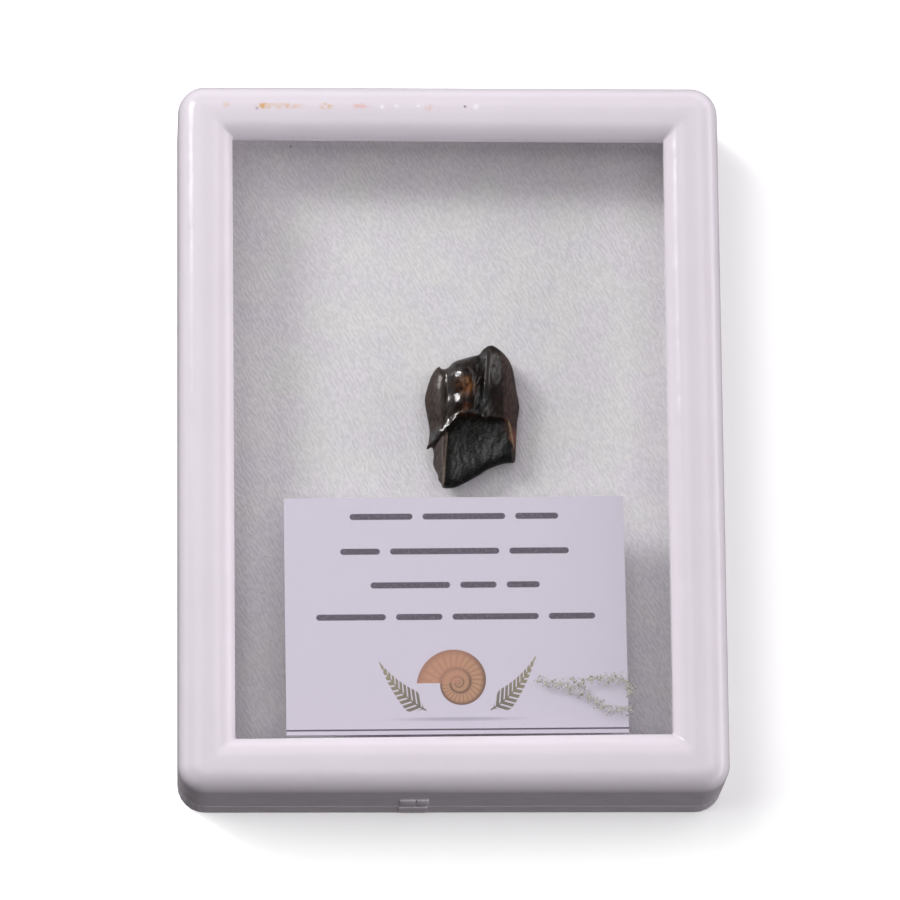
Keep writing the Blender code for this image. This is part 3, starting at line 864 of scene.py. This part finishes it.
# %% Enamel
fossil = Finish("fossil enamel and root")
masks = {}
for name in ("root", "facet", "valley", "edge"):
    masks[name] = fossil.node("ShaderNodeAttribute", dict(attribute_name=name), {}, "Fac")
u, v = fossil.x - TOOTH_MIDDLE[0], fossil.y - TOOTH_MIDDLE[1]
leaning = fossil.together(u - v * 0.3, v * 0.35, fossil.z)
mottle = fossil.noise(fossil.place, 0.8, 4.0, 0.6)
streak = fossil.noise(leaning, 2.2, 3.0, 0.6)
streaky = fossil.rise(streak, 0.35, 0.65)
fine = fossil.noise(leaning, 5.5, 3.0, 0.6)


def at_tooth(u, v, radius):
    """A soft spot at a place on the tooth."""
    return fossil.spot(TOOTH_MIDDLE[0] + u, TOOTH_MIDDLE[1] + v, radius)


brown = fossil.mix(fossil.rise(mottle, 0.35, 0.65), colour(26, 18, 14), colour(40, 29, 24))
left_lobe = fossil.rise(u + mottle * 2.2 - v * 0.05, -2.6, -4.6)
satin_brown = fossil.mix(streaky, colour(44, 34, 30), colour(74, 60, 54))
enamel = fossil.mix(left_lobe * 0.9, brown, satin_brown)
right_flank = fossil.rise(u + v * 0.05 + streak * 0.5, 4.75, 5.25)
plum_brown = fossil.mix(streaky, colour(60, 47, 45), colour(84, 67, 63))
enamel = fossil.mix(right_flank * 0.95, enamel, plum_brown)
enamel = fossil.mix(at_tooth(-6.0, -3.4, 1.6) * 0.9, enamel, colour(78, 80, 82))
amber = at_tooth(-1.0, 3.9, 2.2) * fossil.rise(mottle * 0.6 + streak * 0.4, 0.36, 0.66)
enamel = fossil.mix(amber, enamel, colour(152, 96, 46))
amber_low = at_tooth(-0.9, 0.9, 1.0) * fossil.rise(streak, 0.4, 0.6)
enamel = fossil.mix(amber_low * 0.9, enamel, colour(112, 62, 30))
# Painted shade: the valley beside the dome and the patch below it are painted near-black where the dome
# shades the enamel
enamel = fossil.mix(masks["valley"] * 0.85, enamel, colour(17, 11, 9))
enamel = fossil.mix(at_tooth(1.6, 1.7, 3.0) * 0.9, enamel, colour(14, 12, 12))
warm_places = at_tooth(-1.0, -0.2, 2.2).most(at_tooth(5.2, -1.3, 1.2))
rim_warmth = masks["edge"] * fossil.rise(mottle, 0.4, 0.6) * warm_places
enamel = fossil.mix(rim_warmth, enamel, colour(84, 46, 22))
enamel = fossil.mix(at_tooth(6.3, -3.3, 2.2) * 0.85, enamel, colour(128, 84, 70))
from_edge = abs(u + v * 0.22 - 5.24)
beside_root = fossil.rise(v, -5.2, -4.2) * fossil.rise(v, -0.6, -1.4)
light_edge = fossil.rise(from_edge, 0.26, 0.06) * beside_root
enamel = fossil.mix(light_edge * fossil.rise(streak, 0.35, 0.5), enamel, colour(150, 128, 100))
# The worn facet is painted grey: partly the real colour of the worn enamel, partly a painted sheen in
# place of its gloss
worn = masks["facet"] * fossil.rise(mottle, 0.25, 0.55, 0.6, 1.0)
worn_grey_and_sheen = fossil.mix(fossil.rise(streak, 0.4, 0.6), colour(74, 72, 70), colour(102, 99, 96))
enamel = fossil.mix(worn, enamel, worn_grey_and_sheen)
enamel = fossil.mix(at_tooth(3.25, 7.2, 0.42) * 0.9, enamel, colour(30, 22, 19))
pits = at_tooth(4.3, 5.2, 1.5).most(at_tooth(4.4, 3.4, 1.4)) * fossil.rise(streak, 0.62, 0.45)
enamel = fossil.mix(pits * 0.9, enamel, colour(20, 21, 25))
crest_top = at_tooth(1.9, 9.8, 1.3).most(at_tooth(1.7, 8.4, 1.5))
enamel = fossil.mix(crest_top * 0.9, enamel, colour(20, 14, 12))
dull = fossil.rise(u, 1.0, 1.9).most(left_lobe * 0.85)
enamel_relief = fossil.bump(streak * 0.5 + fine * 0.5, 0.16)
glossy = fossil.surface(
    Base_Color=enamel, Roughness=0.30 + dull * 0.25, Normal=enamel_relief, IOR=1.5,
    Specular_IOR_Level=0.06, Coat_Weight=0.40 - dull * 0.34, Coat_Roughness=0.07, Coat_IOR=1.5)

# %% Root
speck = fossil.noise(fossil.place, 3.4, 3.0, 0.7)
bone = fossil.mix(fossil.rise(speck, 0.47, 0.68), colour(13, 13, 13), colour(52, 57, 50))
bone = fossil.mix(fossil.rise(mottle, 0.45, 0.7) * 0.35, bone, colour(44, 38, 40))
wedge = fossil.rise(u, 4.2, 5.4) * fossil.rise(v, -4.0, -1.8)
bone = fossil.mix(wedge * 0.7, bone, colour(66, 42, 32))
# The splint's right side leans: it ends in a thin, lighter edge
past_splint = u - v * 0.08 + 3.63 + (streak - 0.5) * 0.3
below_break = fossil.rise(v, -2.4, -3.2)
splint = fossil.rise(past_splint, 0.12, -0.12) * below_break
splint_brown = fossil.mix(streaky, colour(60, 51, 49), colour(86, 75, 71))
bone = fossil.mix(splint, bone, splint_brown)
splint_edge = fossil.rise(abs(past_splint + 0.12), 0.26, 0.05) * below_break
bone = fossil.mix(splint_edge * 0.85, bone, colour(124, 110, 100))
matte_relief = fossil.bump(speck, 0.16)
matte = fossil.surface(
    Base_Color=bone, Roughness=0.5, Normal=matte_relief, IOR=1.5, Specular_IOR_Level=0.08)
tooth_finish = fossil.node("ShaderNodeMixShader", {}, {0: masks["root"], 1: glossy, 2: matte})
fossil_material = fossil.done(tooth_finish)
tooth_piece = add_piece("fossil_tooth", make_tooth(), fossil_material, "tooth")

# %% [markdown]
# Polished enamel is almost black until it mirrors a lamp, and then it sparkles. A second softbox,
# in the key's place, is seen by the tooth's gloss only, so the glints are bright and the rest
# stays dark.

# %% Glints
glint = softbox("glint_softbox", KEY_DIRECTION, KEY_DISTANCE, 0.50, 66.0)
glint.visible_diffuse = False
on_the_tooth = bpy.data.collections.new("lit by the glint softbox")
on_the_tooth.objects.link(tooth_piece)
glint.light_linking.receiver_collection = on_the_tooth
print("glint softbox:", glint.data.energy, "W")

# %% [markdown]
# ## The card
#
# The card is smooth matte paper with a lilac cast, turned by half a degree. Its print is generic:
# four centred rows of plain bars, a coiled shell between two fern leaves, and a thin rule. Flat
# print needs no image. Each mark is a formula on the card's own coordinates, a and b, in
# millimetres from its middle.

# %% Paper and rows of bars
CARD_MIDDLE, CARD_TURN = (0.49, -27.45), radians(0.48)
BAR_ROWS = [(15.28, (9.5, 12.5, 6.5)), (9.90, (6.0, 16.5, 9.0)), (4.68, (12.0, 5.5, 5.0)),
            (-0.22, (10.5, 7.0, 13.0, 7.0))]
BAR_GAP, BAR_HALF = 1.5, 0.48
INK = colour(72, 64, 80)

card = Finish("card")
east, north = card.x - CARD_MIDDLE[0], card.y - CARD_MIDDLE[1]
a = east * cos(CARD_TURN) + north * sin(CARD_TURN)
b = north * cos(CARD_TURN) - east * sin(CARD_TURN)
fibres = card.noise(card.place, 5.0, 3.0, 0.6)
paper_tone = card.mix(card.rise(fibres, 0.3, 0.7), colour(221, 214, 229), colour(226, 219, 234))


def bar(middle_a, middle_b, length):
    """1 inside a bar with round ends."""
    along_bar = (abs(a - middle_a) - (length / 2 - BAR_HALF)).most(0.0)
    reach = (along_bar ** 2 + (b - middle_b) ** 2) ** 0.5
    return card.rise(reach, BAR_HALF + 0.05, BAR_HALF - 0.07)


printed = 0.0
for row_b, lengths in BAR_ROWS:
    start = -(sum(lengths) + BAR_GAP * (len(lengths) - 1)) / 2
    for length in lengths:
        printed = bar(start + length / 2, row_b, length) + printed
        start += length + BAR_GAP
uneven = card.rise(card.noise(card.place, 3.0, 2.0, 0.5), 0.2, 0.6, 0.85, 1.0)
page = card.mix(printed * uneven * 0.92, paper_tone, INK)
print("rows of bars:", len(BAR_ROWS))

# %% Rule, and the ground under the shell
RULE_B, GROUND_B = -17.5, -15.9

rule = card.rise(abs(b - RULE_B), 0.18, 0.07)
page = card.mix(rule * 0.95, page, INK)
ground = card.rise(((a / 13.0) ** 2 + ((b - GROUND_B) / 0.45) ** 2) ** 0.5, 1.0, 0.2)
page = card.mix(ground * 0.6, page, colour(168, 160, 180))
print("rule at b =", RULE_B)

# %% Fern leaves
LEAFLET_SPACING, HALF_WIDTH = 0.85, 2.3


def fern(page, foot, tilt, length, side):
    """A leaf whose stem bends to one side, with leaflets that slant forward and shorten to the tip."""
    from_foot_a, from_foot_b = a - foot[0], b - foot[1]
    forward = from_foot_a * cos(tilt) + from_foot_b * sin(tilt)
    aside = from_foot_b * cos(tilt) - from_foot_a * sin(tilt) + forward ** 2 * (0.035 * side)
    share = forward / length
    half = (1 - share) * HALF_WIDTH * card.rise(share, 0.02, 0.3)
    blade = card.rise(abs(aside) - half, 0.12, -0.05)
    stripes = ((forward - abs(aside) * 0.8) / LEAFLET_SPACING + 40.0).apply("FRACT")
    leaflet = card.rise(abs(stripes - 0.5), 0.40, 0.28) * blade
    stem = card.rise(abs(aside), 0.17, 0.07)
    within = card.rise(share, 1.0, 0.98) * card.rise(share, 0.0, 0.02)
    leaf = leaflet.most(stem) * within
    green = card.mix(card.rise(share, 0.1, 0.9), colour(112, 104, 84), colour(150, 140, 104))
    return card.mix(leaf * 0.9, page, green)


page = fern(page, (-4.6, -14.6), radians(152), 9.8, 1)
page = fern(page, (4.9, -14.6), radians(30), 10.2, -1)
print("nodes in the card so far:", len(card.nodes))

# %% Coiled shell
SHELL_MIDDLE, SHELL_REACH, SHELL_GROWTH, RIBS = (0.2, -10.4), 4.1, 2.3, 26
right_of, over = a - SHELL_MIDDLE[0], b - SHELL_MIDDLE[1]
reach = (right_of ** 2 + over ** 2 + 0.0001) ** 0.5
turn = over.apply("ARCTAN2", right_of) / (2 * pi)
coil = (reach / SHELL_REACH).apply("LOGARITHM", SHELL_GROWTH) - turn
across_whorl = (coil + 20.0).apply("FRACT")
shell = card.rise(coil, 0.02, -0.01)
swelling = 1 - (across_whorl * 2 - 1) ** 2
ribbing = ((turn * RIBS + across_whorl * 0.9) * (2 * pi)).apply("SINE")
shell_tone = card.mix(card.rise(swelling, 0.0, 0.9), colour(112, 84, 68), colour(196, 152, 118))
shell_tone = card.mix(card.rise(ribbing, -0.1, 0.9) * 0.5, shell_tone, colour(152, 98, 72))
blush = card.rise(turn + card.noise(card.place, 0.5, 2.0, 0.5) * 0.2, 0.1, 0.4)
shell_tone = card.mix(blush * 0.55, shell_tone, colour(204, 146, 118))
page = card.mix(shell * 0.95, page, shell_tone)
give(nodes["label_card"], card.done(card.surface(Base_Color=page, Roughness=0.55)))

# %% [markdown]
# ## Dust and a dried smear on the window
#
# A few specks of dust lie on the pane, and at its lower right there is one dried smear. Each fleck
# is a flat, uneven little dome. The flecks of the smear follow two drawn lines, and make
# one joined mesh.

# %% Flecks
SMEAR_LINES = [
    [(17.7, -38.1), (21.0, -37.6), (25.5, -37.2), (26.4, -38.4), (26.9, -39.9)],
    [(12.8, -37.6), (16.0, -38.3), (20.2, -39.9), (21.7, -41.4), (24.0, -42.0), (26.9, -42.2)]]
SMEAR_SPACING, SMEAR_SPREAD = 0.07, 1.5
DUST = [(-24.1, 45.6, 0.22), (8.3, 45.0, 0.18), (21.4, 44.2, 0.16), (26.8, 45.7, 0.2),
        (-28.1, -18.6, 0.25), (-28.6, -24.2, 0.2), (-26.9, 12.3, 0.14), (14.2, 30.1, 0.12),
        (-9.6, 36.8, 0.12)]
WINDOW_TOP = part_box("window")[1].z / MM
FLECK_SIDES, FOOT_LIFT, PEAK_LIFT = 9, 0.01, 0.02


def fleck(shape, x, y, radius, seed):
    """A low dome with an uneven outline, closed underneath."""
    foot = WINDOW_TOP + FOOT_LIFT
    ring = []
    for side in range(FLECK_SIDES):
        angle = 2 * pi * side / FLECK_SIDES
        far = radius * (0.75 + 0.7 * noise.noise((seed * 3.7, 1.3 * cos(angle), 1.3 * sin(angle))))
        ring.append(shape.verts.new(from_case(x + far * cos(angle), y + far * sin(angle), foot)))
    peak = shape.verts.new(from_case(x, y, WINDOW_TOP + PEAK_LIFT + 0.05 * radius))
    for side in range(FLECK_SIDES):
        shape.faces.new((ring[side], ring[(side + 1) % FLECK_SIDES], peak))
    shape.faces.new(list(reversed(ring)))


def flecks(name, places):
    shape = bmesh.new()
    for seed, (x, y, radius) in enumerate(places):
        fleck(shape, x, y, radius, seed)
    return as_mesh(name, shape)


def along_lines(lines, spacing, spread):
    """Places along the lines, a little off them, with sizes that vary."""
    places = []
    for number, line in enumerate(lines):
        for (ax, ay), (bx, by) in zip(line, line[1:]):
            count = max(int(Vector((bx - ax, by - ay)).length / spacing), 1)
            for step in range(count):
                share = (step + 0.5) / count
                x, y = ax + (bx - ax) * share, ay + (by - ay) * share
                away_x = noise.noise((x * 7.7, y * 7.7, number * 5.0)) * spread
                away_y = noise.noise((x * 7.7, y * 7.7, number * 5.0 + 40.3)) * spread
                size = 0.14 + 0.35 * abs(noise.noise((x * 9.3, y * 9.3, 2.0)))
                places.append((x + away_x, y + away_y, size))
    return places


dried = Finish("dried smear")
patchy = dried.noise(dried.place, 2.2, 3.0, 0.6)
dried_tone = dried.mix(dried.rise(patchy, 0.50, 0.66), colour(232, 230, 218), colour(142, 140, 122))
film = dried.rise(patchy, 0.35, 0.6, 0.25, 0.7)
dried_finish = dried.done(dried.surface(Base_Color=dried_tone, Roughness=0.6, Alpha=film))
smear_places = along_lines(SMEAR_LINES, SMEAR_SPACING, SMEAR_SPREAD)
add_piece("dried_smear", flecks("dried_smear", smear_places), dried_finish)
lint = Finish("dust")
lint_patchy = lint.rise(lint.noise(lint.place, 1.5, 2.0, 0.5), 0.4, 0.6)
lint_tone = lint.mix(lint_patchy, colour(225, 222, 226), colour(150, 146, 152))
lint_finish = lint.done(lint.surface(Base_Color=lint_tone, Roughness=0.8))
add_piece("window_dust", flecks("window_dust", DUST), lint_finish)
